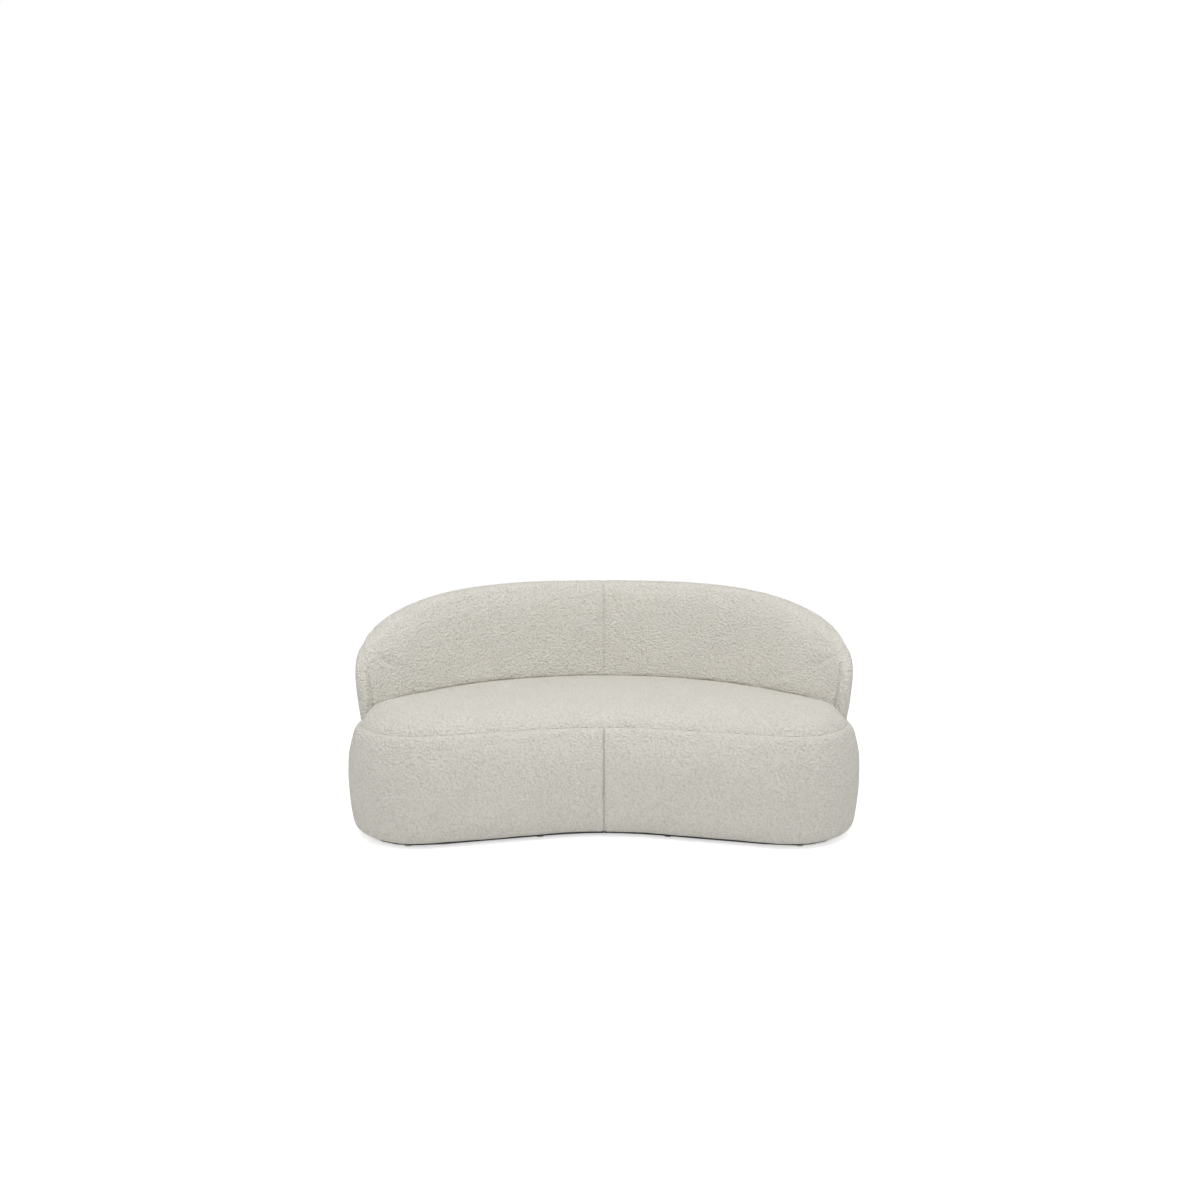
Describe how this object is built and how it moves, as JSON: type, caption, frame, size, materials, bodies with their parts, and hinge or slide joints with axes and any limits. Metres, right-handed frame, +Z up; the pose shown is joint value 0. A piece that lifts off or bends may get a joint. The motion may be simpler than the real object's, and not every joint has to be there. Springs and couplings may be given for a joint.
{
  "type": "curved two-seat sofa",
  "caption": "Curved upholstered sofa: a crowned kidney-shaped seat block on a low set-back plinth, with a low wraparound back that sweeps down to a rounded wing at each end.",
  "frame": {"origin": "middle of the footprint's bounding box, on the floor", "axes": "+X to the sitter's left along the sofa, +Y from the front towards the back, +Z up; the open front faces -Y"},
  "size_m": [1.75, 0.9246, 0.791],
  "materials": {
    "boucle": "cream boucle upholstery cloth with small loops",
    "foam": "open-cell polyurethane foam",
    "plywood": "raw birch plywood",
    "black_board": "black satin paint",
    "nylon": "moulded black nylon",
    "webbing": "woven elastic webbing",
    "cambric": "thin black nonwoven cloth",
    "zinc_steel": "zinc-plated steel"
  },
  "bodies": {
    "root": {"glide_right_1": "nylon", "glide_right_2": "nylon", "glide_right_3": "nylon", "glide_right_4": "nylon", "glide_left_1": "nylon", "glide_left_2": "nylon", "glide_left_3": "nylon", "glide_left_4": "nylon", "plinth_front_right": "black_board", "plinth_front_left": "black_board", "plinth_rear_right": "black_board", "plinth_rear_left": "black_board", "dust_cover": "cambric", "seat_base_board_front": "plywood", "seat_base_board_rear": "plywood", "seat_facing_front": "plywood", "seat_facing_rear": "plywood", "seat_deck_board_front": "plywood", "seat_deck_board_rear": "plywood", "seat_rib_right_1": "plywood", "seat_rib_right_2": "plywood", "seat_rib_right_3": "plywood", "seat_rib_left_1": "plywood", "seat_rib_left_2": "plywood", "seat_rib_left_3": "plywood", "seat_centre_rail": "plywood", "seat_strap_right_1": "webbing", "seat_strap_right_2": "webbing", "seat_strap_right_3": "webbing", "seat_strap_left_1": "webbing", "seat_strap_left_2": "webbing", "seat_strap_left_3": "webbing", "seat_border_foam": "foam", "seat_cushion_foam": "foam", "seat_top_cover": "boucle", "seat_border_front_right": "boucle", "seat_border_front_left": "boucle", "seat_border_rear": "boucle", "back_rail_bottom": "plywood", "back_rail_middle": "plywood", "back_rail_top": "plywood", "back_post_1": "plywood", "back_post_2": "plywood", "back_post_3": "plywood", "back_post_4": "plywood", "back_post_5": "plywood", "back_bolt_1": "zinc_steel", "back_bolt_2": "zinc_steel", "back_bolt_3": "zinc_steel", "back_bolt_4": "zinc_steel", "back_bolt_5": "zinc_steel", "back_front_foam": "foam", "back_rear_foam": "foam", "back_cover_front_right": "boucle", "back_cover_front_left": "boucle", "back_cover_outer_right": "boucle", "back_cover_outer_left": "boucle"}
  },
  "joints": []
}
